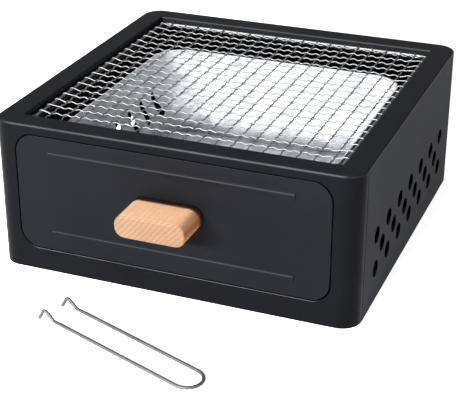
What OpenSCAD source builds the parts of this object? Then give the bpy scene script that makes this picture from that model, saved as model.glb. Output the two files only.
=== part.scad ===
// Square table-top charcoal grill: a folded sheet-steel housing, a coal drawer
// with a wooden handle, a lift-off woven net and its bent-wire lifter.
// +Z is up, the drawer opens towards -Y, and the origin is the middle of the base.

/* [Housing] */
// Width of the housing, left to right
body_w = 280; // [270:1:300]
// Depth of the housing, front to back
body_d = 280; // [275:1:300]
// Height of the housing
body_h = 117; // [114:1:130]
// Outside radius of the upright corners
corner_r = 15; // [12:1:20]
// Thickness of the housing sheet
sheet_t = 1.2; // [1:0.1:1.5]
// Open joint between the front panel and the rear shell
seam_gap = 1.2; // [0.2:0.1:1.2]

/* [Top rim] */
// Width of the rim at the left and right
rim_side = 19; // [16:1:22]
// Width of the rim at the front and back
rim_front = 18; // [16:1:22]
// Thickness of the rim, which is also the radius of its bends
rim_t = 1.6; // [1.4:0.1:2]
// Depth of the well that the net lies in
well_depth = 6; // [6:0.5:8]
// Width of the ledge under the edge of the net
ledge_w = 5; // [4:0.5:6]

/* [Side vents] */
// Diameter of a vent hole
vent_dia = 13; // [8:0.5:13.5]
// Distance between the holes of a row
vent_pitch = 31.4; // [28:0.2:32]
// Holes in the top and bottom rows
vent_count = 7; // [3:1:7]
// Height of the lowest row of holes
vent_z = 27; // [24:0.5:30]
// Distance between the rows
vent_step = 13.5; // [12:0.5:14]

/* [Drawer] */
// Width of the drawer front
drawer_w = 240; // [236:1:244]
// Height of the drawer front
drawer_h = 90; // [88:1:92]
// Corner radius of the drawer front
drawer_r = 14; // [10:1:16]
// Height of the drawer front's lower edge
drawer_z = 19; // [18:0.5:19]
// Gap all round the drawer front
drawer_gap = 1; // [0.8:0.1:1.2]
// Length of a pressed rib
rib_l = 188; // [160:1:200]
// How far a rib stands out
rib_out = 1; // [0.8:0.1:2]

/* [Charcoal pan] */
// Width of the pan
pan_w = 214; // [210:1:216]
// Depth of the pan, front to back
pan_d = 231; // [228:1:242]
// Height of the pan's rim above the table
pan_top = 99; // [90:1:100]
// Corner radius of the pan
pan_r = 25; // [18:1:28]
// Thickness of the pan's sheet
pan_t = 1; // [0.8:0.1:1]
// Slanted air slots in each side of the pan
slot_count = 7; // [5:1:7]
// How far the slots lean back from upright
slot_lean = 36; // [20:1:45]

/* [Handle] */
// Width of the wooden block
handle_w = 53; // [48:1:60]
// Height of the wooden block
handle_h = 17.2; // [16:0.2:20]
// How far the block stands out
handle_l = 33; // [28:1:45]
// Radius of its long edges
handle_r = 7.5; // [4:0.5:7.5]

/* [Net] */
// Diameter of a net wire
wire_d = 1; // [1:0.1:1.6]
// Distance between the wires
net_pitch = 12.15; // [12:0.05:12.3]
// Wires that run front to back
long_count = 19; // [9:1:19]
// Wires that run left to right
cross_count = 20; // [10:1:20]

/* [Lifter] */
// Diameter of the lifter's wire
lifter_d = 2.6; // [1.8:0.1:3]
// Length of the lifter, from its hooks to the middle of its bow
lifter_l = 141; // [120:1:150]
// Distance between its two legs
lifter_w = 22; // [16:1:26]

/* [Hidden] */

// Smoothness of round shapes
arc_fn = 64;
rod_fn = 24;
// Overshoot of a cut past the face that it opens
cut = 1;

coat = "#303134";
zinc = "#c3c8cc";
steel = "#9da1a4";
beech = "#dcb083";

// Housing
front_y = -body_d / 2;
wall_h = body_h - rim_t;
inner_w = body_w - 2 * sheet_t;
inner_d = body_d - 2 * sheet_t;
inner_r = corner_r - sheet_t;
seam_y = front_y + corner_r;
well_w = body_w - 2 * rim_side;
well_d = body_d - 2 * rim_front;
well_z = body_h - well_depth;
base_lip = 10;
lip_t = 1;

// Joining strips behind the two front seams
strip_t = 1.2;
strip_l = 12;
strip_turn = 8;
strip_z = base_lip + 1;
strip_h = wall_h - strip_z - 4;

// Coal drawer
inner_y = front_y + sheet_t;
drawer_mid = drawer_z + drawer_h / 2;
drawer_lip = 8;
rib_h = 7;
rib_slope = 1.4;
rib_z = [body_h - 18, body_h - 81];
handle_z = (rib_z[0] + rib_z[1]) / 2;
edge_r = 1.2;

// Drawer runners and stops
runner_t = 1;
shelf_top = 21.8;
shelf_w = 13;
foot_w = 14;
guide_x = pan_w / 2 + 3.5;
guide_h = 28;
runner_front = front_y + 16;
slide_gap = 0.3;
stop_y = runner_front + 4;
stop_l = 12;
stop_reach = 2.7;
end_h = 10;
rivet_r = 2;
rivet_head = 1.2;
rivet_x = guide_x + 8;
rivet_ys = [-100, -6, 88];

// Charcoal pan
pan_z = shelf_top + slide_gap;
pan_front = front_y + 6;
pan_back = pan_front + pan_d;
pan_y = (pan_front + pan_back) / 2;
slot_l = 28.5;
slot_w = 6.5;
slot_pitch = 23;
slot_z = 54;
slot_y = 4;
stud_x = 75;
stud_zs = [38, 84];
stud_r = 2;
stud_l = 11.8;
stud_clear = 0.2;
spacer_r = 4;
nut_r = 4;
nut_h = 3.2;
peg_y = pan_back - 31;
peg_z = pan_z + 5;
peg_r = 1.5;
peg_head_r = 3;
peg_head_h = 1.8;
peg_inner_h = 0.8;
peg_clear = 0.1;

// Handle screws
screw_x = 14;
screw_r = 2.5;
screw_l = 22;
screw_clear = 0.05;
screw_head_r = 4.5;
screw_head_h = 2.5;
washer_r = 5.5;
washer_h = 1;

// Net
net_play = 0.7;
border_w = 2;
border_r = 4;
layer_gap = 0.1;
cross_z = well_z + wire_d / 2 + layer_gap / 2;
long_z = cross_z + wire_d + layer_gap;
border_h = 2 * wire_d + 2 * layer_gap;
net_w = well_w - 2 * net_play;
net_d = well_d - 2 * net_play;

// Lifter, lying on the table in front of the housing, hooks to the left. Its legs rise
// towards the hooks, turn up at the neck, and turn down at the crook to the tips.
lifter_pos = [-68, -194.5];
lifter_turn = -18.9;
lifter_r = lifter_d / 2;
bow_r = lifter_w / 2;
leg_rise = 1.4;
neck_rise = 32.4;
tip_fall = 56.6;
hook_l = 15.6;
leg_l = lifter_l - bow_r - hook_l;
neck_l = 11.2;
crook_z = lifter_r + (bow_r + leg_l) * sin(leg_rise) + neck_l * sin(neck_rise);
tip_l = (crook_z - lifter_r * cos(tip_fall)) / sin(tip_fall);
knuckle_r = lifter_r + 0.05;

// Rectangle with round corners, centred
module round_rect(w, d, r) {
    square([w - 2 * r, d], center = true);
    square([w, d - 2 * r], center = true);
    for (x = [-1, 1], y = [-1, 1])
        translate([x * (w / 2 - r), y * (d / 2 - r)])
            circle(r = r, $fn = arc_fn);
}

// Wall of thickness t inside a rectangle with round corners
module round_ring(w, d, r, t) {
    difference() {
        round_rect(w, d, r);
        round_rect(w - 2 * t, d - 2 * t, r - t);
    }
}

// Wall of thickness t outside a plain rectangular opening
module square_ring(w, d, t) {
    difference() {
        square([w + 2 * t, d + 2 * t], center = true);
        square([w, d], center = true);
    }
}

// Quarter disc, the section of a rounded edge
module quarter(r) {
    intersection() {
        circle(r = r, $fn = arc_fn);
        square(r);
    }
}

// Straight rounded edge of length l, along Y
module round_edge(l, e) {
    translate([0, l / 2, 0])
        rotate([90, 0, 0])
            linear_extrude(l)
                quarter(e);
}

// Slab with round corners, whose upper edge is rounded over by e
module soft_slab(w, d, r, h, e) {
    if (h > e)
        linear_extrude(h - e)
            round_rect(w, d, r);
    translate([0, 0, h - e]) {
        linear_extrude(e)
            round_rect(w - 2 * e, d - 2 * e, r - e);
        for (a = [0, 180])
            rotate(a)
                translate([w / 2 - e, 0, 0])
                    round_edge(d - 2 * r, e);
        for (a = [90, 270])
            rotate(a)
                translate([d / 2 - e, 0, 0])
                    round_edge(w - 2 * r, e);
        for (x = [0, 1], y = [0, 1])
            mirror([x, 0, 0])
                mirror([0, y, 0])
                    translate([w / 2 - r, d / 2 - r, 0])
                        rotate_extrude(angle = 90, $fn = arc_fn)
                            translate([r - e, 0])
                                quarter(e);
    }
}

// Turns a shape drawn in X and Z, so that its thickness runs forward from y
module facing_front(y) {
    translate([0, y, 0])
        rotate([90, 0, 0])
            children();
}

// Turns a shape drawn in Y and Z, so that its thickness runs to the right from x
module facing_side(x) {
    translate([x, 0, 0])
        rotate([90, 0, 90])
            children();
}

// Puts a copy on both sides of the middle
module both_sides() {
    children();
    mirror([1, 0, 0])
        children();
}

// Upright wall of the housing, all the way round
module housing_wall() {
    linear_extrude(wall_h)
        round_ring(body_w, body_d, corner_r, sheet_t);
}

module front_panel() {
    opening_w = drawer_w + 2 * drawer_gap;
    opening_h = drawer_h + 2 * drawer_gap;
    color(coat)
        difference() {
            intersection() {
                housing_wall();
                translate([-body_w, front_y - cut, 0])
                    cube([2 * body_w, corner_r + cut, wall_h]);
            }
            facing_front(inner_y + cut)
                linear_extrude(sheet_t + 2 * cut)
                    translate([0, drawer_mid])
                        round_rect(opening_w, opening_h, drawer_r + drawer_gap);
        }
}

// Three staggered rows of round holes through both side walls
module vent_holes() {
    for (row = [0:2], i = [0:vent_count - 1 - row % 2]) {
        y = (i - (vent_count - 1 - row % 2) / 2) * vent_pitch;
        translate([-body_w / 2 - cut, y, vent_z + row * vent_step])
            rotate([0, 90, 0])
                cylinder(h = body_w + 2 * cut, d = vent_dia, $fn = arc_fn);
    }
}

module rear_shell() {
    color(coat)
        difference() {
            intersection() {
                housing_wall();
                translate([-body_w, seam_y + seam_gap, 0])
                    cube([2 * body_w, body_d, wall_h]);
            }
            vent_holes();
        }
}

// One side of the rim, with its inner edge at x = edge rounded over
module rim_bar(edge, l) {
    translate([edge + rim_t, 0, 0]) {
        mirror([1, 0, 0])
            round_edge(l, rim_t);
        translate([0, -l / 2, 0])
            cube([rim_side + rim_front, l, rim_t]);
    }
}

module top_frame() {
    color(coat) {
        translate([0, 0, wall_h])
            intersection() {
                soft_slab(body_w, body_d, corner_r, rim_t, rim_t);
                union() {
                    for (a = [0, 180])
                        rotate(a)
                            rim_bar(well_w / 2, body_d);
                    for (a = [90, 270])
                        rotate(a)
                            rim_bar(well_d / 2, body_w);
                }
            }
        translate([0, 0, well_z])
            linear_extrude(wall_h - well_z)
                square_ring(well_w, well_d, sheet_t);
    }
}

module net_ledge() {
    color(coat) {
        translate([0, 0, well_z - sheet_t])
            linear_extrude(sheet_t)
                square_ring(well_w - 2 * ledge_w, well_d - 2 * ledge_w, ledge_w + sheet_t + lip_t);
        translate([0, 0, well_z])
            linear_extrude(wall_h - well_z)
                square_ring(well_w + 2 * sheet_t, well_d + 2 * sheet_t, lip_t);
    }
}

// Upright holes for the runner rivets, in the right half
module rivet_holes() {
    for (y = rivet_ys)
        translate([rivet_x, y, -cut])
            cylinder(h = base_lip, r = rivet_r + peg_clear, $fn = rod_fn);
}

module bottom_plate() {
    color(coat)
        difference() {
            union() {
                linear_extrude(sheet_t)
                    round_rect(inner_w, inner_d, inner_r);
                linear_extrude(base_lip)
                    round_ring(inner_w, inner_d, inner_r, lip_t);
            }
            both_sides()
                rivet_holes();
        }
}

// Strip that backs the right-hand seam, straight behind it and curved ahead of it
module seam_strip() {
    translate([body_w / 2 - corner_r, seam_y, strip_z])
        linear_extrude(strip_h) {
            translate([inner_r - strip_t, 0])
                square([strip_t, strip_l]);
            intersection() {
                difference() {
                    circle(r = inner_r, $fn = arc_fn);
                    circle(r = inner_r - strip_t, $fn = arc_fn);
                }
                translate([0, -strip_turn])
                    square([inner_r, strip_turn]);
            }
        }
}

module right_seam_strip() {
    color(coat)
        seam_strip();
}

module left_seam_strip() {
    color(coat)
        mirror([1, 0, 0])
            seam_strip();
}

// Right-hand runner: a foot, an upright guide, a shelf and an upturned end
module runner() {
    difference() {
        facing_front(pan_back + slide_gap + runner_t)
            linear_extrude(pan_back + slide_gap + runner_t - runner_front) {
                translate([guide_x, sheet_t])
                    square([foot_w, runner_t]);
                translate([guide_x, sheet_t])
                    square([runner_t, guide_h - sheet_t]);
                translate([guide_x - shelf_w, shelf_top - runner_t])
                    square([shelf_w, runner_t]);
            }
        rivet_holes();
    }
    translate([guide_x - shelf_w, pan_back + slide_gap, shelf_top])
        cube([shelf_w, runner_t, end_h]);
}

module right_runner() {
    color(coat)
        runner();
}

module left_runner() {
    color(coat)
        mirror([1, 0, 0])
            runner();
}

module runner_rivets() {
    color(steel)
        both_sides()
            for (y = rivet_ys)
                translate([rivet_x, y, 0]) {
                    cylinder(h = sheet_t + runner_t, r = rivet_r, $fn = rod_fn);
                    translate([0, 0, sheet_t + runner_t])
                        cylinder(h = rivet_head, r1 = 2 * rivet_r, r2 = rivet_r, $fn = rod_fn);
                }
}

// Right-hand angle that a drawer peg meets when the drawer is fully out
module stop_angle() {
    translate([guide_x - stop_reach, stop_y, shelf_top])
        cube([stop_reach, runner_t, end_h]);
    translate([guide_x - runner_t, stop_y, shelf_top])
        cube([runner_t, stop_l, end_h]);
}

module right_stop() {
    color(steel)
        stop_angle();
}

module left_stop() {
    color(steel)
        mirror([1, 0, 0])
            stop_angle();
}

// Pressed rib, with a steep slope above and running out below
module rib(z) {
    facing_side(-rib_l / 2)
        linear_extrude(rib_l)
            polygon([[inner_y, z], [front_y, z], [front_y - 0.7 * rib_out, z - rib_slope],
                [front_y - rib_out, z - 1.6 * rib_slope], [front_y, z - rib_h], [inner_y, z - rib_h]]);
}

module drawer_front() {
    color(coat)
        difference() {
            union() {
                facing_front(inner_y)
                    linear_extrude(sheet_t)
                        translate([0, drawer_mid])
                            round_rect(drawer_w, drawer_h, drawer_r);
                facing_front(inner_y + drawer_lip)
                    linear_extrude(drawer_lip)
                        translate([0, drawer_mid])
                            round_ring(drawer_w, drawer_h, drawer_r, lip_t);
                for (z = rib_z)
                    rib(z);
            }
            both_sides()
                translate([screw_x, 0, handle_z])
                    facing_front(inner_y + cut)
                        cylinder(h = sheet_t + 2 * cut, r = screw_r + screw_clear, $fn = rod_fn);
        }
}

module handle() {
    color(beech)
        difference() {
            translate([0, 0, handle_z])
                facing_front(front_y)
                    soft_slab(handle_w, handle_h, handle_r, handle_l, edge_r);
            both_sides()
                translate([screw_x, 0, handle_z])
                    facing_front(front_y + cut)
                        cylinder(h = screw_l + cut, r = screw_r + screw_clear, $fn = rod_fn);
        }
}

module handle_screws() {
    color(steel)
        both_sides()
            translate([screw_x, 0, handle_z])
                facing_front(inner_y + washer_h + screw_head_h)
                    difference() {
                        union() {
                            cylinder(h = screw_head_h, r = screw_head_r, $fn = rod_fn);
                            cylinder(h = screw_head_h + screw_l, r = screw_r, $fn = rod_fn);
                        }
                        translate([0, 0, -cut])
                            cylinder(h = screw_head_h, r = screw_r, $fn = 6);
                    }
}

module handle_washers() {
    color(steel)
        both_sides()
            translate([screw_x, 0, handle_z])
                facing_front(inner_y + washer_h)
                    difference() {
                        cylinder(h = washer_h, r = washer_r, $fn = rod_fn);
                        translate([0, 0, -cut])
                            cylinder(h = washer_h + 2 * cut, r = screw_r + stud_clear, $fn = rod_fn);
                    }
}

// Slanted slot, seen from the side
module slot_outline() {
    rotate(slot_lean) {
        square([slot_w, slot_l], center = true);
        for (end = [-1, 1])
            translate([0, end * slot_l / 2])
                circle(d = slot_w, $fn = arc_fn);
    }
}

// Puts a copy at each of the four studs that carry the pan
module at_studs(y) {
    both_sides()
        for (z = stud_zs)
            translate([stud_x, 0, z])
                facing_front(y)
                    children();
}

// Puts a copy at each of the two stop pegs, pointing outwards from x
module at_pegs(x) {
    both_sides()
        translate([x, peg_y, peg_z])
            rotate([0, 90, 0])
                children();
}

module charcoal_pan() {
    color(zinc)
        difference() {
            translate([0, pan_y, pan_z]) {
                linear_extrude(pan_t)
                    round_rect(pan_w, pan_d, pan_r);
                linear_extrude(pan_top - pan_z)
                    round_ring(pan_w, pan_d, pan_r, pan_t);
            }
            for (i = [0:slot_count - 1])
                facing_side(-pan_w)
                    linear_extrude(2 * pan_w)
                        translate([slot_y + (i - (slot_count - 1) / 2) * slot_pitch, slot_z])
                            slot_outline();
            at_studs(pan_front + pan_t + cut)
                cylinder(h = pan_t + 2 * cut, r = stud_r + stud_clear, $fn = rod_fn);
            at_pegs(pan_w / 2 - pan_t - cut)
                cylinder(h = pan_t + 2 * cut, r = peg_r + peg_clear, $fn = rod_fn);
        }
}

module pan_studs() {
    color(steel)
        at_studs(inner_y + stud_l)
            cylinder(h = stud_l, r = stud_r, $fn = rod_fn);
}

module pan_spacers() {
    color(steel)
        at_studs(pan_front)
            difference() {
                cylinder(h = pan_front - inner_y, r = spacer_r, $fn = rod_fn);
                translate([0, 0, -cut])
                    cylinder(h = pan_front - inner_y + 2 * cut, r = stud_r + stud_clear, $fn = rod_fn);
            }
}

module pan_nuts() {
    color(steel)
        at_studs(pan_front + pan_t + nut_h)
            difference() {
                cylinder(h = nut_h, r = nut_r, $fn = 6);
                translate([0, 0, -cut])
                    cylinder(h = nut_h + 2 * cut, r = stud_r + screw_clear, $fn = rod_fn);
            }
}

module pan_stop_rivets() {
    color(steel) {
        at_pegs(pan_w / 2 - pan_t - peg_inner_h)
            cylinder(h = pan_t + peg_inner_h + peg_head_h, r = peg_r, $fn = rod_fn);
        at_pegs(pan_w / 2 - pan_t - peg_inner_h)
            cylinder(h = peg_inner_h, r = 2 * peg_r, $fn = rod_fn);
        at_pegs(pan_w / 2)
            cylinder(h = peg_head_h, r = peg_head_r, $fn = rod_fn);
    }
}

// Flat layer of count parallel wires of length l, along X
module wire_layer(count, l) {
    for (i = [0:count - 1])
        translate([-l / 2, (i - (count - 1) / 2) * net_pitch, 0])
            rotate([0, 90, 0])
                cylinder(h = l, d = wire_d, $fn = rod_fn);
}

module net_cross_wires() {
    color(steel)
        translate([0, 0, cross_z])
            wire_layer(cross_count, net_w - 2 * border_w);
}

module net_long_wires() {
    color(steel)
        translate([0, 0, long_z])
            rotate(90)
                wire_layer(long_count, net_d - 2 * border_w);
}

module net_border() {
    color(steel)
        translate([0, 0, well_z])
            linear_extrude(border_h)
                round_ring(net_w, net_d, border_r, border_w);
}

// Straight length of wire from [x, z], climbing at the given angle
module wire_run(start, angle, l) {
    translate([start.x, 0, start.y])
        rotate([0, 90 - angle, 0])
            cylinder(h = l, r = lifter_r, $fn = rod_fn);
}

// One leg and its hook, starting at the bow and running along X
module lifter_leg() {
    climb = neck_rise - leg_rise;
    neck = [leg_l, 0];
    crook = neck + neck_l * [cos(climb), sin(climb)];
    wire_run([0, 0], 0, leg_l);
    wire_run(neck, climb, neck_l);
    wire_run(crook, -tip_fall - leg_rise, tip_l);
    for (bend = [neck, crook])
        translate([bend.x, 0, bend.y])
            sphere(r = knuckle_r, $fn = rod_fn);
}

module net_lifter() {
    color(steel)
        translate([lifter_pos.x, lifter_pos.y, lifter_r])
            rotate(lifter_turn)
                translate([lifter_l, 0, 0])
                    rotate([0, -leg_rise, 180])
                        translate([bow_r, 0, 0]) {
                            rotate(90)
                                rotate_extrude(angle = 180, $fn = arc_fn)
                                    translate([bow_r, 0])
                                        circle(r = lifter_r, $fn = rod_fn);
                            for (side = [-1, 1])
                                translate([0, side * bow_r, 0])
                                    lifter_leg();
                        }
}

front_panel();
rear_shell();
top_frame();
net_ledge();
bottom_plate();
left_seam_strip();
right_seam_strip();
left_runner();
right_runner();
runner_rivets();
left_stop();
right_stop();
drawer_front();
handle();
handle_screws();
handle_washers();
charcoal_pan();
pan_studs();
pan_spacers();
pan_nuts();
pan_stop_rivets();
net_long_wires();
net_cross_wires();
net_border();
net_lifter();
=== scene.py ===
"""Looks of a square table-top charcoal grill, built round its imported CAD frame."""

import math

import bmesh
import bpy
import numpy as np
from mathutils import Matrix, Vector


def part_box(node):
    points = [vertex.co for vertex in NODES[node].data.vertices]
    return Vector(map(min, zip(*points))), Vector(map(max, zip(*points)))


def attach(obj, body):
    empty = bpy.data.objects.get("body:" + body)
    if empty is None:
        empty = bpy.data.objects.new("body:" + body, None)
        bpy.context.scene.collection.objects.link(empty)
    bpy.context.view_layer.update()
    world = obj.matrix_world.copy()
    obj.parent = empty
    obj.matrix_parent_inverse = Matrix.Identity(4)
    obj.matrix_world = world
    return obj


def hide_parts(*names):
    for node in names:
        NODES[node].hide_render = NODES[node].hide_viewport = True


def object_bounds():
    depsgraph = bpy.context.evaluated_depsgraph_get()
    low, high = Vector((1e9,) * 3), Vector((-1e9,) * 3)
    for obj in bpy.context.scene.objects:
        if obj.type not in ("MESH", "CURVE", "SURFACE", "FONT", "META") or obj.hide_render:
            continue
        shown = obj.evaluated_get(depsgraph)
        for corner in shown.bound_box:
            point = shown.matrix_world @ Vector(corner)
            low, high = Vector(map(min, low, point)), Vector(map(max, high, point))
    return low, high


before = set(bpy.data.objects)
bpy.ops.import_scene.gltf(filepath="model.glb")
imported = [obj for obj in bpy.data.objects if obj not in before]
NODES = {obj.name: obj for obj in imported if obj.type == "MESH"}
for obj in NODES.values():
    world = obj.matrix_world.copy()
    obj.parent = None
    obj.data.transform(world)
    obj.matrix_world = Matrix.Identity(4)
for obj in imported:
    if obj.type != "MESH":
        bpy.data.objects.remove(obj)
CAD_LO, CAD_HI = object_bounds()
MM = 0.001

# Camera
CAMERA_PLACE = (0.3415, -0.8879, 0.4779)
CAMERA_TILT = math.radians(90 - 26.032)
CAMERA_TURN = math.radians(21.602)
CAMERA_LENS = 102.87
SENSOR = 36.0
CLIP_START = 0.01
CLIP_END = 50

# Floor, strip light and sky; the sky's levels are (how steeply up it is, brightness)
FLOOR_HALF = 14.0
FLOOR_GAP = 0.2 * MM
FLOOR_GLOW = 0.8
STRIP_PLACE = (-0.31, -1.47, 0.64)
STRIP_AIM = (0, 0, 0.1)
STRIP_SIZE = (0.8, 0.08)
STRIP_POWER = 102
SKY_LEVELS = [(0.0, 1.4), (0.18, 1.4), (0.26, 0.07), (0.5, 0.08), (0.8, 0.68)]
SKY_STRENGTH = 0.70

# Net: wires whose short waves lock into each other at every crossing, and hook over the border
CROSS_COUNT = 20
LONG_COUNT = 19
WAVES_PER_PITCH = 3
WAVE_HEIGHT = 0.55 * MM
STEPS_PER_PITCH = 15
NET_SIDES = 8
HOOK_ARC = math.radians(88)
HOOK_STEPS = 6
LEAD_STEPS = 3
BORDER_RADIUS = 1.0 * MM
BORDER_CORNER = 4.0 * MM
BORDER_SIDES = 16

# Lifter: one wire bent into two legs with hooks, lying on the table
LIFTER_TURN = math.radians(-18.9)
LIFTER_LENGTH = 141 * MM
LIFTER_WIDTH = 22 * MM
LIFTER_RADIUS = 1.3 * MM
LEG_RISE = math.radians(1.4)
NECK_RISE = math.radians(32.4)
TIP_FALL = math.radians(56.6)
HOOK_LENGTH = 15.6 * MM
NECK_LENGTH = 11.2 * MM
LIFTER_SIDES = 20
BEND_RADIUS = 2.6 * MM
BEND_STEPS = 8
BOW_POINTS = 33
TIP_STEPS = 4

# Tubes: the smallest ring of a round tip, by the radius, and when a direction counts as upright
TIP_OPENING = 0.08
UPRIGHT = 0.9

# Handle
HANDLE_CORNER = 7.5 * MM
HANDLE_EDGE = 1.3 * MM
HANDLE_RINGS = 5
EDGE_STEPS = 6

# Rounded outlines of the handle and the net's border
CORNER_STEPS = 14
QUADRANTS = [(1, 1), (-1, 1), (-1, -1), (1, -1)]

# Folded sheet: its softened edges, and which angles and distances count as sharp, flat or the same
SHEET_EDGE = 0.35 * MM
PAN_EDGE = 0.3 * MM
EDGE_SEGMENTS = 3
SHARP_FOLD = math.radians(28)
FLAT_FOLD = math.radians(0.4)
SHADING_BREAK = math.radians(60)
FACE_WEIGHT = 100
MERGE = 0.001 * MM
LEVEL = 0.02 * MM
SEAM_ZONE = 1.0 * MM

# Most values of a noise lie between these
NOISE_LOW = 0.3
NOISE_HIGH = 0.7

# Powder coat: its tints, how uneven they are, and the ranges of a surface's direction that set apart
# its folds, which get a painted highlight, and its raw sheet edges, which get painted shade
COAT_TINT = np.array((1.0, 1.05, 1.28))
HIGHLIGHT_TINT = np.array((1.0, 1.02, 1.08))
CUT_TINT = np.array((1.0, 1.0, 1.0))
COAT_CLOUD = 0.12
HIGHLIGHT_CLOUD = 0.15
CUT_CLOUD = 0.2
COAT_ROUGH_SWING = 0.03
PEEL_GRAIN = 0.4
SPECK_RANGE = (0.35, 0.72)
SPECK_TONES = ((0.72, 0.72, 0.72), (1.25, 1.25, 1.25))
FOLD_STARTS = (0.36, 0.43)
FOLD_STOPS = (0.75, 0.97)
FOLD_AHEAD = (-0.35, -0.15)
FOLD_STRAIGHT = (0.05, 0.3)
CUT_AHEAD = (-0.9, -0.7)

# Galvanised sheet
ZINC_TONES = ((0.40, 0.420, 0.435), (0.66, 0.69, 0.71))
ZINC_RANGE = (0.15, 0.85)
ZINC_ROUGH = (0.34, 0.52)
ZINC_METAL = 0.1
SPANGLE_SCALE = 110
SPANGLE_SHARE = 0.75
WARP_SCALE = 160
WARP_REACH = 8 * MM

# Wires and fasteners: dark and pale tones, and least and most roughness
NET_TONES = ((0.16, 0.162, 0.164), (0.22, 0.223, 0.226))
BORDER_TONES = ((0.15, 0.152, 0.154), (0.21, 0.212, 0.214))
NET_ROUGH = (0.42, 0.52)
LIFTER_TONES = ((0.058, 0.058, 0.060), (0.095, 0.095, 0.098))
LIFTER_ROUGH = (0.55, 0.65)
WIRE_METAL = 0.75
TARNISH_SHARE = 0.7
STEEL_TONES = ((0.42, 0.43, 0.44), (0.60, 0.61, 0.62))
STEEL_ROUGH = (0.30, 0.44)
STEEL_BRUSH = (1, 1, 12)

# Beech: its top, ends and sides, the ends darker than end grain and the sides darker than the top by
# painted shade, its dark rings, and how its grain runs
TOP_TONES = ((0.446, 0.262, 0.152), (0.494, 0.302, 0.181))
END_GRAIN_AND_SHADE_TONES = ((0.129, 0.070, 0.035), (0.145, 0.082, 0.041))
SHADED_SIDE_TONES = ((0.25, 0.094, 0.035), (0.425, 0.195, 0.084))
RING_TONES = ((0.080, 0.032, 0.014), (0.094, 0.040, 0.018))
FLECK_TONES = ((0.93, 0.91, 0.89), (1.0, 1.0, 1.0))
BEECH_ROUGH = (0.48, 0.62)
BEECH_SHEEN = 0.35
RING_PITCH = 3.0 * MM
RING_WOBBLE = 3.5 * MM
RING_LEAN = (0, math.radians(48), 0)
RING_STRETCH = (1, 0.06, 1)
RING_RELIEF = -0.5
RING_PROFILE = [(0.0, 0.25), (0.45, 0.0), (0.92, 1.0), (1.0, 0.25)]
END_RANGE = (0.15, 0.65)
SIDE_RANGE = (0.35, 0.95)
STRIPE_RANGE = (0.35, 0.65)
STRIPE_STRETCH = (0.6, 0.12, 1.6)
FIBRE_STRETCH = (1, 0.04, 1)
FLECK_RANGE = (0.35, 0.6)
FLECK_STRETCH = (1, 0.22, 1)
RING_STRENGTH = (0.10, 0.75)

# White floor
FLOOR_TONES = ((0.91, 0.91, 0.91), (0.93, 0.93, 0.93))
FLOOR_ROUGH = 0.8
FLOOR_SHEEN = 0.2


# ---------------------------------------------------------------- node helpers

def new_material(name):
    """A material with an empty Principled shader, its node tree and that shader."""
    material = bpy.data.materials.new(name)
    material.use_nodes = True
    tree = material.node_tree
    tree.nodes.clear()
    output = tree.nodes.new("ShaderNodeOutputMaterial")
    shader = tree.nodes.new("ShaderNodeBsdfPrincipled")
    tree.links.new(shader.outputs["BSDF"], output.inputs["Surface"])
    return material, tree, shader


def object_place(tree, stretch=(1, 1, 1), turn=(0, 0, 0)):
    """Object coordinates, stretched and turned."""
    coords = tree.nodes.new("ShaderNodeTexCoord")
    mapping = tree.nodes.new("ShaderNodeMapping")
    mapping.inputs["Scale"].default_value = stretch
    mapping.inputs["Rotation"].default_value = turn
    tree.links.new(coords.outputs["Object"], mapping.inputs["Vector"])
    return mapping.outputs["Vector"]


def noise(tree, place, scale, detail):
    """Noise from 0 to 1; scale is in waves per metre."""
    node = tree.nodes.new("ShaderNodeTexNoise")
    node.inputs["Scale"].default_value = scale
    node.inputs["Detail"].default_value = detail
    tree.links.new(place, node.inputs["Vector"])
    return node.outputs["Fac"]


def ramp(tree, value, stops):
    """Colours along value; stops are (place, (r, g, b))."""
    node = tree.nodes.new("ShaderNodeValToRGB")
    elements = node.color_ramp.elements
    while len(elements) < len(stops):
        elements.new(0.5)
    for element, (place, colour) in zip(elements, stops):
        element.position = place
        element.color = (*colour, 1)
    tree.links.new(value, node.inputs["Fac"])
    return node.outputs["Color"]


def spread(tree, value, low, high, start=0.0, end=1.0):
    """value from start to end, spread over low to high."""
    node = tree.nodes.new("ShaderNodeMapRange")
    node.inputs["From Min"].default_value = start
    node.inputs["From Max"].default_value = end
    node.inputs["To Min"].default_value = low
    node.inputs["To Max"].default_value = high
    tree.links.new(value, node.inputs["Value"])
    return node.outputs["Result"]


def combine(tree, kind, first, second=0):
    """One value from one or two, by the named operation."""
    node = tree.nodes.new("ShaderNodeMath")
    node.operation = kind
    for socket, value in zip(node.inputs, (first, second)):
        if isinstance(value, (int, float)):
            socket.default_value = value
        else:
            tree.links.new(value, socket)
    return node.outputs["Value"]


def plus(tree, first, second, share):
    """first with a share of second added to it."""
    return combine(tree, "ADD", first, combine(tree, "MULTIPLY", second, share))


def mixed(tree, first, second, share):
    """A share of first, and second for the rest."""
    return plus(tree, combine(tree, "MULTIPLY", first, share), second, 1 - share)


def toned(tree, value, tones, limits=(NOISE_LOW, NOISE_HIGH)):
    """Colours from the first of two tones to the second, as value goes from limit to limit."""
    return ramp(tree, value, list(zip(limits, tones)))


def clouded(tree, value, colour, amount):
    """A colour made darker and paler by amount, along a noise."""
    return toned(tree, value, (colour * (1 - amount), colour * (1 + amount)))


def uneven(tree, value, levels):
    """Values from the first of two levels to the second, along a noise."""
    return spread(tree, value, *levels, NOISE_LOW, NOISE_HIGH)


def blend_colours(tree, kind, amount, first, second):
    """Two colours blended; amount is a number or a value."""
    node = tree.nodes.new("ShaderNodeMix")
    node.data_type = "RGBA"
    node.blend_type = kind
    if isinstance(amount, (int, float)):
        node.inputs["Factor"].default_value = amount
    else:
        tree.links.new(amount, node.inputs["Factor"])
    tree.links.new(first, node.inputs["A"])
    tree.links.new(second, node.inputs["B"])
    return node.outputs["Result"]


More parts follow.
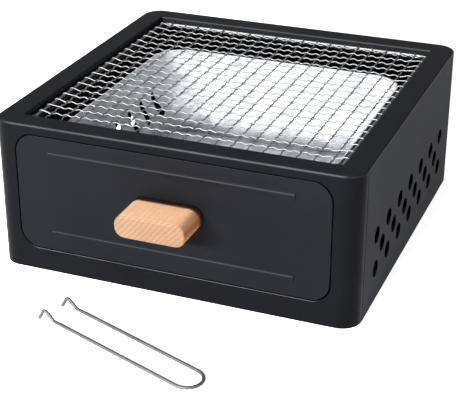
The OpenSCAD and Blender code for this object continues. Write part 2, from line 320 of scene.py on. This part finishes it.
def facing(tree):
    """The direction the surface faces, split into X, Y and Z."""
    normal = tree.nodes.new("ShaderNodeNewGeometry")
    split = tree.nodes.new("ShaderNodeSeparateXYZ")
    tree.links.new(normal.outputs["Normal"], split.inputs["Vector"])
    return split


def relief(tree, shader, height, strength, depth):
    """Bump in the shader, from heights of 0 to 1; depth is in metres."""
    node = tree.nodes.new("ShaderNodeBump")
    node.inputs["Strength"].default_value = strength
    node.inputs["Distance"].default_value = depth
    tree.links.new(height, node.inputs["Height"])
    tree.links.new(node.outputs["Normal"], shader.inputs["Normal"])


# ------------------------------------------------------------------- materials

def forward_folds(tree):
    """1 on folds that face forward and up, 0 on flat walls, on tops and on corners; it places the painted
    highlight.
    """
    normal = facing(tree)
    rising = spread(tree, normal.outputs["Z"], 0, 1, *FOLD_STARTS)
    not_level = spread(tree, normal.outputs["Z"], 1, 0, *FOLD_STOPS)
    leaning = combine(tree, "MULTIPLY", rising, not_level)
    ahead = spread(tree, normal.outputs["Y"], 1, 0, *FOLD_AHEAD)
    straight = spread(tree, combine(tree, "ABSOLUTE", normal.outputs["X"]), 1, 0, *FOLD_STRAIGHT)
    return combine(tree, "MULTIPLY", leaning, combine(tree, "MULTIPLY", ahead, straight))


def coat_material(name, shade, sheen, rough, fold_highlight=None, joint_shade=None):
    """Satin black powder coat with a fine orange peel; shade is its mean lightness.

    The lightness given for folds is that of a painted highlight on the folds that face forward and up;
    the one given for the raw sheet edges that face forward, which lie in the upright joints, is painted
    shade.
    """
    material, tree, shader = new_material(name)
    place = object_place(tree)
    cloud = noise(tree, place, scale=22, detail=3)
    peel = noise(tree, place, scale=900, detail=2)
    grain = noise(tree, place, scale=3200, detail=1)
    colour = clouded(tree, cloud, COAT_TINT * shade, COAT_CLOUD)
    speck = toned(tree, grain, SPECK_TONES, SPECK_RANGE)
    # Painted highlight along the folds that face forward and up
    if fold_highlight is not None:
        painted_highlight = clouded(tree, cloud, HIGHLIGHT_TINT * fold_highlight, HIGHLIGHT_CLOUD)
        colour = blend_colours(tree, "MIX", forward_folds(tree), colour, painted_highlight)
    # Painted shade on the raw sheet edges that face forward into the upright joints
    if joint_shade is not None:
        edge = spread(tree, facing(tree).outputs["Y"], 1, 0, *CUT_AHEAD)
        shadowed = clouded(tree, cloud, CUT_TINT * joint_shade, CUT_CLOUD)
        colour = blend_colours(tree, "MIX", edge, colour, shadowed)
    tree.links.new(blend_colours(tree, "MULTIPLY", 1.0, colour, speck), shader.inputs["Base Color"])
    levels = (rough - COAT_ROUGH_SWING, rough + COAT_ROUGH_SWING)
    tree.links.new(uneven(tree, peel, levels), shader.inputs["Roughness"])
    shader.inputs["Specular IOR Level"].default_value = sheen
    relief(tree, shader, plus(tree, peel, grain, PEEL_GRAIN), strength=0.25, depth=0.05 * MM)
    return material


def warped(tree, place):
    """Coordinates pushed about by a noise, so that cells get uneven borders."""
    warp = tree.nodes.new("ShaderNodeTexNoise")
    warp.inputs["Scale"].default_value = WARP_SCALE
    shift = tree.nodes.new("ShaderNodeVectorMath")
    shift.operation = "MULTIPLY_ADD"
    shift.inputs[1].default_value = (WARP_REACH, WARP_REACH, WARP_REACH)
    tree.links.new(place, warp.inputs["Vector"])
    tree.links.new(warp.outputs["Color"], shift.inputs[0])
    tree.links.new(place, shift.inputs[2])
    return shift.outputs["Vector"]


def zinc_material():
    """Galvanised sheet with its spangle of crystals."""
    material, tree, shader = new_material("galvanised_sheet")
    place = object_place(tree)
    cells = tree.nodes.new("ShaderNodeTexVoronoi")
    cells.inputs["Scale"].default_value = SPANGLE_SCALE
    cells.inputs["Randomness"].default_value = 1.0
    tree.links.new(warped(tree, place), cells.inputs["Vector"])
    pick = tree.nodes.new("ShaderNodeSeparateColor")
    tree.links.new(cells.outputs["Color"], pick.inputs["Color"])
    fine = noise(tree, place, scale=700, detail=3)
    shade = mixed(tree, pick.outputs["Red"], fine, SPANGLE_SHARE)
    tree.links.new(toned(tree, shade, ZINC_TONES, ZINC_RANGE), shader.inputs["Base Color"])
    tree.links.new(spread(tree, pick.outputs["Green"], *ZINC_ROUGH), shader.inputs["Roughness"])
    shader.inputs["Metallic"].default_value = ZINC_METAL
    relief(tree, shader, shade, strength=0.2, depth=0.05 * MM)
    return material


def wire_material(name, tones, rough):
    """Drawn wire with fine drawing marks and tarnish."""
    material, tree, shader = new_material(name)
    place = object_place(tree)
    tarnish = noise(tree, place, scale=60, detail=3)
    marks = noise(tree, place, scale=1800, detail=2)
    shade = mixed(tree, tarnish, marks, TARNISH_SHARE)
    tree.links.new(toned(tree, shade, tones), shader.inputs["Base Color"])
    tree.links.new(uneven(tree, marks, rough), shader.inputs["Roughness"])
    shader.inputs["Metallic"].default_value = WIRE_METAL
    relief(tree, shader, marks, strength=0.15, depth=0.02 * MM)
    return material


def fastener_material():
    """Brushed steel of the screws, washers, studs, spacers, nuts and the pan's pegs."""
    material, tree, shader = new_material("brushed_steel")
    brush = noise(tree, object_place(tree, STEEL_BRUSH), scale=900, detail=3)
    cloud = noise(tree, object_place(tree), scale=90, detail=2)
    tree.links.new(toned(tree, brush, STEEL_TONES), shader.inputs["Base Color"])
    tree.links.new(uneven(tree, cloud, STEEL_ROUGH), shader.inputs["Roughness"])
    shader.inputs["Metallic"].default_value = 1.0
    relief(tree, shader, brush, strength=0.2, depth=0.03 * MM)
    return material


def growth_rings(tree):
    """The dark late wood of the growth rings, from 0 to 1."""
    place = object_place(tree, RING_STRETCH, RING_LEAN)
    wobble = noise(tree, place, scale=45, detail=2)
    split = tree.nodes.new("ShaderNodeSeparateXYZ")
    tree.links.new(place, split.inputs["Vector"])
    across = plus(tree, split.outputs["Z"], wobble, RING_WOBBLE)
    rings = combine(tree, "FRACT", combine(tree, "MULTIPLY", across, 1 / RING_PITCH))
    return ramp(tree, rings, [(stop, (level, level, level)) for stop, level in RING_PROFILE])


def faced(tree, axis, limits):
    """0 to 1 as the surface turns to face along an axis, either way."""
    return spread(tree, combine(tree, "ABSOLUTE", facing(tree).outputs[axis]), 0, 1, *limits)


def beech_material():
    """Sanded beech: growth rings across the ends, faint lines and flecks along it; painted shade darkens
    the ends beyond end grain and the sides below the top.
    """
    material, tree, shader = new_material("sanded_beech")
    end_face = faced(tree, "Y", END_RANGE)
    mark = combine(tree, "MULTIPLY", growth_rings(tree), spread(tree, end_face, *RING_STRENGTH))
    fibres = noise(tree, object_place(tree, FIBRE_STRETCH), scale=1500, detail=3)
    flecks = noise(tree, object_place(tree, FLECK_STRETCH), scale=800, detail=2)
    stripes = noise(tree, object_place(tree, STRIPE_STRETCH), scale=160, detail=2)
    cloud = noise(tree, object_place(tree), scale=60, detail=2)
    # Painted shade: the sides darker than the top, the ends darker than end grain alone, reaching onto the
    # rounded edges
    sides = toned(tree, stripes, SHADED_SIDE_TONES, STRIPE_RANGE)
    colour = blend_colours(tree, "MIX", faced(tree, "X", SIDE_RANGE), toned(tree, cloud, TOP_TONES), sides)
    colour = blend_colours(tree, "MIX", end_face, colour, toned(tree, cloud, END_GRAIN_AND_SHADE_TONES))
    colour = blend_colours(tree, "MIX", mark, colour, toned(tree, fibres, RING_TONES))
    speck = toned(tree, flecks, FLECK_TONES, FLECK_RANGE)
    tree.links.new(blend_colours(tree, "MULTIPLY", 1.0, colour, speck), shader.inputs["Base Color"])
    tree.links.new(uneven(tree, fibres, BEECH_ROUGH), shader.inputs["Roughness"])
    shader.inputs["Specular IOR Level"].default_value = BEECH_SHEEN
    relief(tree, shader, plus(tree, fibres, mark, RING_RELIEF), strength=0.3, depth=0.06 * MM)
    return material


def floor_material():
    """Plain white floor that glows, so that it comes out as white as paper."""
    material, tree, shader = new_material("white_table")
    cloud = noise(tree, object_place(tree), scale=3, detail=2)
    tree.links.new(toned(tree, cloud, FLOOR_TONES), shader.inputs["Base Color"])
    shader.inputs["Emission Color"].default_value = (1, 1, 1, 1)
    shader.inputs["Emission Strength"].default_value = FLOOR_GLOW
    shader.inputs["Roughness"].default_value = FLOOR_ROUGH
    shader.inputs["Specular IOR Level"].default_value = FLOOR_SHEEN
    return material


# ----------------------------------------------------------------- mesh helpers

def mesh_piece(name, verts, faces, material):
    """A smooth object from points and faces."""
    mesh = bpy.data.meshes.new(name)
    mesh.from_pydata([tuple(v) for v in verts], [], [tuple(f) for f in faces])
    mesh.validate()
    bm = bmesh.new()
    bm.from_mesh(mesh)
    bmesh.ops.recalc_face_normals(bm, faces=bm.faces)
    bm.to_mesh(mesh)
    bm.free()
    mesh.polygons.foreach_set("use_smooth", [True] * len(mesh.polygons))
    mesh.materials.append(material)
    piece = bpy.data.objects.new(name, mesh)
    bpy.context.scene.collection.objects.link(piece)
    return piece


def ring_faces(rings, count, closed=False):
    """Faces between rings of count points each, capped at both ends unless they close a loop."""
    faces = []
    for i in range(rings if closed else rings - 1):
        here, there = i * count, (i + 1) % rings * count
        for k in range(count):
            n = (k + 1) % count
            faces.append((here + k, here + n, there + n, there + k))
    if not closed:
        faces.append(tuple(range(count))[::-1])
        faces.append(tuple(range((rings - 1) * count, rings * count)))
    return faces


def round_tips(path, ahead, radius, tips):
    """A tube's path, directions and radii with tips more rings at each end, which round it off."""
    angles = np.linspace(0, math.pi / 2, tips + 1)[:-1]
    first = path[0] + ahead[0] * radius
    last = path[-1] - ahead[-1] * radius
    before = first - ahead[0] * radius * np.cos(angles)[:, None]
    after = last + ahead[-1] * radius * np.cos(angles[::-1])[:, None]
    path = np.vstack([before, first, path[1:-1], last, after])
    ahead = np.vstack([np.repeat(ahead[:1], tips + 1, 0), ahead[1:-1], np.repeat(ahead[-1:], tips + 1, 0)])
    ends = np.maximum(np.sin(angles), TIP_OPENING) * radius
    radii = np.concatenate([ends, np.full(len(path) - 2 * tips, radius), ends[::-1]])
    return path, ahead, radii


def tube(path, radius, sides, closed=False, tips=0):
    """Points and faces of a round tube along path; tips is how many rings round off each end."""
    path = np.asarray(path, float)
    if closed:
        ahead = np.roll(path, -1, 0) - np.roll(path, 1, 0)
    else:
        ahead = np.gradient(path, axis=0)
    ahead /= np.linalg.norm(ahead, axis=1)[:, None]
    radii = np.full(len(path), radius)
    if tips:
        path, ahead, radii = round_tips(path, ahead, radius, tips)
    side = np.cross(ahead[0], (0, 0, 1) if abs(ahead[0][2]) < UPRIGHT else (1, 0, 0))
    turns = np.linspace(0, 2 * math.pi, sides, endpoint=False)
    verts = []
    for point, way, r in zip(path, ahead, radii):
        side = side - way * (side @ way)
        side /= np.linalg.norm(side)
        up = np.cross(side, way)
        verts.append(point + r * (np.cos(turns)[:, None] * side + np.sin(turns)[:, None] * up))
    return np.vstack(verts), ring_faces(len(path), sides, closed)


def joined(parts):
    """Points and faces of several parts as one."""
    verts, faces, start = [], [], 0
    for part_verts, part_faces in parts:
        verts.append(part_verts)
        faces += [tuple(start + i for i in face) for face in part_faces]
        start += len(part_verts)
    return np.vstack(verts), faces


def rounded_path(points, radius, steps):
    """A path whose inner corners are rounded off with arcs."""
    points = [np.asarray(p, float) for p in points]
    path = [points[0]]
    for before, corner, after in zip(points, points[1:], points[2:]):
        back = before - corner
        ahead = after - corner
        back /= np.linalg.norm(back)
        ahead /= np.linalg.norm(ahead)
        half = math.acos(max(-1.0, min(1.0, back @ ahead))) / 2
        reach = radius / math.tan(half)
        centre = corner + (back + ahead) / np.linalg.norm(back + ahead) * radius / math.sin(half)
        start, end = corner + back * reach - centre, corner + ahead * reach - centre
        sweep = math.pi - 2 * half
        for t in np.linspace(0, 1, steps + 1):
            arm = math.sin((1 - t) * sweep) * start + math.sin(t * sweep) * end
            path.append(centre + arm / math.sin(sweep))
    path.append(points[-1])
    return np.array(path)


def rounded_outline(half_x, half_y, corner, radius, quarter):
    """Points round a rectangle whose corner arcs have their centres corner in from its sides."""
    points = []
    for k, (sx, sy) in enumerate(QUADRANTS):
        for a in quarter + k * math.pi / 2:
            points.append((sx * (half_x - corner) + radius * math.cos(a),
                           sy * (half_y - corner) + radius * math.sin(a)))
    return points


def even_shading(piece, keep_sharp=False):
    """Keeps flat faces flat in shading, up to their softened edges."""
    level = piece.modifiers.new("even_shading", "WEIGHTED_NORMAL")
    level.keep_sharp = keep_sharp
    level.weight = FACE_WEIGHT


def finish_sheet(node, material, skip=None, width=SHEET_EDGE):
    """A copy of a CAD sheet whose sharp edges are softened, standing for the node.

    skip says of an edge whether it stays as it is.
    """
    bm = bmesh.new()
    bm.from_mesh(NODES[node].data)
    bmesh.ops.remove_doubles(bm, verts=bm.verts, dist=MERGE)
    bmesh.ops.dissolve_limit(bm, angle_limit=FLAT_FOLD, verts=bm.verts, edges=bm.edges)
    sharp = [e for e in bm.edges if e.is_manifold and e.calc_face_angle(0) > SHARP_FOLD]
    if skip is not None:
        sharp = [e for e in sharp if not skip(e)]
    bmesh.ops.bevel(bm, geom=sharp, offset=width, segments=EDGE_SEGMENTS, profile=0.5,
                    affect="EDGES", clamp_overlap=True)
    bmesh.ops.remove_doubles(bm, verts=bm.verts, dist=MERGE)
    for face in bm.faces:
        face.smooth = True
    for edge in bm.edges:
        edge.smooth = not (edge.is_manifold and edge.calc_face_angle(0) > SHADING_BREAK)
    mesh = bpy.data.meshes.new(node + "_finished")
    bm.to_mesh(mesh)
    bm.free()
    mesh.materials.append(material)
    piece = bpy.data.objects.new(node + "_finished", mesh)
    bpy.context.scene.collection.objects.link(piece)
    even_shading(piece, keep_sharp=True)
    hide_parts(node)
    return piece


# ----------------------------------------------------------------------- pieces

def at_level(edge, height):
    """Whether an edge lies at a height."""
    return all(abs(v.co.z - height) < LEVEL for v in edge.verts)


def at_seam(edge, seam):
    """Whether an edge lies by the upright joints, which are at seam along Y."""
    return all(abs(v.co.y - seam) < SEAM_ZONE for v in edge.verts)


def housing_pieces(coats):
    """The folded housing, with soft edges, but not at its joints or where the rim is folded on."""
    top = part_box("front_panel")[1].z
    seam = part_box("front_panel")[1].y
    for node, coat in coats.items():
        piece = finish_sheet(node, coat, lambda e: at_level(e, top) or at_seam(e, seam))
        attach(piece, "housing")


def drawer_pieces(coat, zinc):
    """The drawer front with its two ribs, and the coal pan."""
    front = finish_sheet("drawer_front", coat)
    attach(front, "drawer")
    pan = finish_sheet("charcoal_pan", zinc, width=PAN_EDGE)
    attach(pan, "drawer")


def handle_piece(beech):
    """The rounded wooden block on the drawer."""
    lo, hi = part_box("handle")
    centre = (lo + hi) / 2
    half_w, half_h = (hi.x - lo.x) / 2, (hi.z - lo.z) / 2
    rings = [(hi.y, 0.0)]
    for y in np.linspace(hi.y, lo.y + HANDLE_EDGE, HANDLE_RINGS)[1:-1]:
        rings.append((y, 0.0))
    for a in np.linspace(0, math.pi / 2, EDGE_STEPS + 1):
        rings.append((lo.y + HANDLE_EDGE * (1 - math.sin(a)), HANDLE_EDGE * (1 - math.cos(a))))
    quarter = np.linspace(0, math.pi / 2, CORNER_STEPS + 1)
    verts = []
    for y, inset in rings:
        outline = rounded_outline(half_w, half_h, HANDLE_CORNER, HANDLE_CORNER - inset, quarter)
        verts += [(centre.x + x, y, centre.z + z) for x, z in outline]
    piece = mesh_piece("handle_block", verts, ring_faces(len(rings), len(outline)), beech)
    even_shading(piece)
    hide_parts("handle")
    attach(piece, "drawer")


def net_line(crossings, reach, sign, middle, border_z, over):
    """Side view of one net wire: waves over the crossings, then a hook over the border at each end.

    reach is how far out the hooks begin, sign says whether the first wave goes up or down,
    middle and border_z are the heights of the net and its border, over the hooks' radius.
    """
    pitch = crossings[1] - crossings[0]
    inner = np.linspace(crossings[0], crossings[-1], (len(crossings) - 1) * STEPS_PER_PITCH + 1)
    phase = WAVES_PER_PITCH * math.pi * (inner - crossings[0]) / pitch
    wave = middle + sign * WAVE_HEIGHT * np.cos(phase)
    arc = np.linspace(0, HOOK_ARC, HOOK_STEPS)
    hook = reach + over * np.sin(arc)
    hook_z = border_z + over * np.cos(arc)
    gap = reach - crossings[-1]
    steps = max(LEAD_STEPS, int(STEPS_PER_PITCH * gap / pitch))
    lead = np.linspace(0, 1, steps + 2)[1:-1]
    ease = lead * lead * (3 - 2 * lead)
    left_z = wave[0] + (hook_z[0] - wave[0]) * ease
    right_z = wave[-1] + (hook_z[0] - wave[-1]) * ease
    line = np.concatenate([-hook[::-1], crossings[0] - gap * lead[::-1], inner,
                           crossings[-1] + gap * lead, hook])
    height = np.concatenate([hook_z[::-1], left_z[::-1], wave, right_z, hook_z])
    return line, height


def net_layer(places, crossings, reach, wire_r, heights, sign, along_y):
    """All the wires of one layer, each waved the other way from its neighbours."""
    parts = []
    for i, place in enumerate(places):
        line, height = net_line(crossings, reach, sign * (-1) ** i, *heights)
        fixed = np.full(len(line), place)
        path = np.stack([fixed, line, height] if along_y else [line, fixed, height], 1)
        parts.append(tube(path, wire_r, NET_SIDES))
    return joined(parts)


def net_pieces(wire, border_wire):
    """The woven net: two layers of waved wires, hooked over a border wire."""
    border_lo, border_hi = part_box("net_border")
    cross_lo, cross_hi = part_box("net_cross_wires")
    long_lo, long_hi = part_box("net_long_wires")
    wire_r = (cross_hi.z - cross_lo.z) / 2
    over = BORDER_RADIUS + wire_r
    border_z = border_lo.z + BORDER_RADIUS
    border_x = border_hi.x - over - wire_r
    border_y = border_hi.y - over - wire_r
    heights = ((border_lo.z + border_hi.z) / 2, border_z, over)
    cross_places = np.linspace(cross_lo.y + wire_r, cross_hi.y - wire_r, CROSS_COUNT)
    long_places = np.linspace(long_lo.x + wire_r, long_hi.x - wire_r, LONG_COUNT)
    cross = net_layer(cross_places, long_places, border_x, wire_r, heights, sign=1, along_y=False)
    lengthwise = net_layer(long_places, cross_places, border_y, wire_r, heights, sign=-1, along_y=True)
    quarter = np.linspace(0, math.pi / 2, CORNER_STEPS)
    outline = rounded_outline(border_x, border_y, BORDER_CORNER, BORDER_CORNER, quarter)
    rim = tube([(x, y, border_z) for x, y in outline], BORDER_RADIUS, BORDER_SIDES, closed=True)
    for name, part, node, steel in (("net_cross_wires_woven", cross, "net_cross_wires", wire),
                                    ("net_long_wires_woven", lengthwise, "net_long_wires", wire),
                                    ("net_border_wire", rim, "net_border", border_wire)):
        piece = mesh_piece(name, *part, steel)
        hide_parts(node)
        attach(piece, "net")


def slope(angle):
    """One unit along a slope, seen from the side."""
    return np.array([math.cos(angle), math.sin(angle)])


def lifter_line():
    """The lifter's centreline: hook, neck and leg, round the bow, and back to the other hook."""
    bow = LIFTER_WIDTH / 2
    leg = LIFTER_LENGTH - bow - HOOK_LENGTH
    crook_rise = (bow + leg) * math.sin(LEG_RISE) + NECK_LENGTH * math.sin(NECK_RISE)
    tip = (LIFTER_RADIUS + crook_rise - LIFTER_RADIUS * math.cos(TIP_FALL)) / math.sin(TIP_FALL)
    neck = (bow + leg) * slope(LEG_RISE)
    crook = neck + NECK_LENGTH * slope(NECK_RISE)
    end = crook + tip * slope(-TIP_FALL)
    side = [bow * slope(LEG_RISE), neck, crook, end]
    leg_path = rounded_path([(p[0], -bow, p[1]) for p in side], BEND_RADIUS, BEND_STEPS)
    bow_path = []
    for a in np.linspace(-math.pi / 2, math.pi / 2, BOW_POINTS)[1:-1]:
        along, rise = bow * (1 - math.cos(a)) * slope(LEG_RISE)
        bow_path.append((along, bow * math.sin(a), rise))
    return np.vstack([leg_path[::-1], np.array(bow_path), leg_path * (1, -1, 1)])


def lifter_piece(wire):
    """The net lifter, one wire with a round bow and two hooked legs."""
    lo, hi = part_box("net_lifter")
    verts, faces = tube(lifter_line(), LIFTER_RADIUS, LIFTER_SIDES, tips=TIP_STEPS)
    turn = Matrix.Rotation(math.pi + LIFTER_TURN, 3, "Z")
    verts = verts @ np.array(turn).T
    verts += np.array((lo + hi) / 2) - (verts.max(0) + verts.min(0)) / 2
    verts[:, 2] += lo.z - verts[:, 2].min()
    piece = mesh_piece("net_lifter_wire", verts, faces, wire)
    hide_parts("net_lifter")
    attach(piece, "lifter")


def recoat(material, names):
    """Gives CAD nodes a better material."""
    for name in names:
        for slot in NODES[name].material_slots:
            slot.material = material


# ------------------------------------------------------------------------ studio

def make_floor():
    """The plain floor that the object stands on, with nothing else on it."""
    verts = [(x * FLOOR_HALF, y * FLOOR_HALF, 0) for x, y in ((-1, -1), (1, -1), (1, 1), (-1, 1))]
    floor = mesh_piece("table", verts, [(0, 1, 2, 3)], floor_material())
    floor.location.z = CAD_LO.z - FLOOR_GAP


def make_strip_light():
    """A low strip light in front, to the left."""
    light = bpy.data.lights.new("strip_light", "AREA")
    light.shape = "RECTANGLE"
    light.size, light.size_y = STRIP_SIZE
    light.energy = STRIP_POWER
    lamp = bpy.data.objects.new("strip_light", light)
    lamp.location = STRIP_PLACE
    lamp.rotation_mode = "QUATERNION"
    lamp.rotation_quaternion = (Vector(STRIP_AIM) - Vector(STRIP_PLACE)).to_track_quat("-Z", "Y")
    bpy.context.scene.collection.objects.link(lamp)


def make_sky():
    """A bright ceiling, and a white backdrop round the horizon."""
    world = bpy.data.worlds.new("studio")
    bpy.context.scene.world = world
    world.use_nodes = True
    tree = world.node_tree
    tree.nodes.clear()
    output = tree.nodes.new("ShaderNodeOutputWorld")
    sky = tree.nodes.new("ShaderNodeBackground")
    coords = tree.nodes.new("ShaderNodeTexCoord")
    split = tree.nodes.new("ShaderNodeSeparateXYZ")
    tree.links.new(coords.outputs["Generated"], split.inputs["Vector"])
    stops = [(height, (level, level, level)) for height, level in SKY_LEVELS]
    tree.links.new(ramp(tree, split.outputs["Z"], stops), sky.inputs["Color"])
    sky.inputs["Strength"].default_value = SKY_STRENGTH
    tree.links.new(sky.outputs["Background"], output.inputs["Surface"])


def set_view():
    """Plain colours, as the camera sees them."""
    settings = bpy.context.scene.view_settings
    settings.view_transform = "Standard"
    settings.look = "None"
    settings.exposure = 0.0


def make_camera():
    """The camera at the photograph's angle."""
    data = bpy.data.cameras.new("camera")
    data.lens = CAMERA_LENS
    data.sensor_width = SENSOR
    data.clip_start = CLIP_START
    data.clip_end = CLIP_END
    camera = bpy.data.objects.new("camera", data)
    camera.location = CAMERA_PLACE
    camera.rotation_euler = (CAMERA_TILT, 0, CAMERA_TURN)
    bpy.context.scene.collection.objects.link(camera)
    bpy.context.scene.camera = camera


# One black coat on the real grill; these copies set shade and sheen part by part to stand in for how light
# falls on each: painted light and shade
COAT = coat_material("black_coat_inside", shade=0.0060, sheen=0.06, rough=0.45)
# Near-black copy of the coat for the seam strips behind the upright joints: painted shade in the joints
SEAM_SHADE_COAT = coat_material("black_coat_seam_shade", shade=0.0015, sheen=0.0, rough=0.7)
FRONT_COAT = coat_material("black_coat_front", shade=0.0025, sheen=0.0245, rough=0.40, fold_highlight=0.09)
DRAWER_COAT = coat_material("black_coat_drawer", shade=0.0036, sheen=0.038, rough=0.48, fold_highlight=0.023)
SHELL_COAT = coat_material("black_coat_shell", shade=0.0180, sheen=0.007, rough=0.44, joint_shade=0.0005)
RIM_COAT = coat_material("black_coat_rim", shade=0.0070, sheen=0.052, rough=0.40, fold_highlight=0.028)
ZINC = zinc_material()
WIRE = wire_material("bright_wire", NET_TONES, NET_ROUGH)
BORDER_WIRE = wire_material("border_wire", BORDER_TONES, NET_ROUGH)
LIFTER_STEEL = wire_material("lifter_steel", LIFTER_TONES, LIFTER_ROUGH)
STEEL = fastener_material()
BEECH = beech_material()

make_camera()
housing_pieces({"front_panel": FRONT_COAT, "rear_shell": SHELL_COAT, "top_frame": RIM_COAT})
drawer_pieces(DRAWER_COAT, ZINC)
handle_piece(BEECH)
net_pieces(WIRE, BORDER_WIRE)
lifter_piece(LIFTER_STEEL)
recoat(COAT, ["net_ledge", "bottom_plate", "left_runner", "right_runner", "left_stop", "right_stop",
              "runner_rivets"])
# The seam strips behind the joints get the near-black copy as painted shade
recoat(SEAM_SHADE_COAT, ["left_seam_strip", "right_seam_strip"])
recoat(STEEL, ["handle_screws", "handle_washers", "pan_studs", "pan_spacers", "pan_nuts",
               "pan_stop_rivets"])
make_floor()
make_strip_light()
make_sky()
set_view()
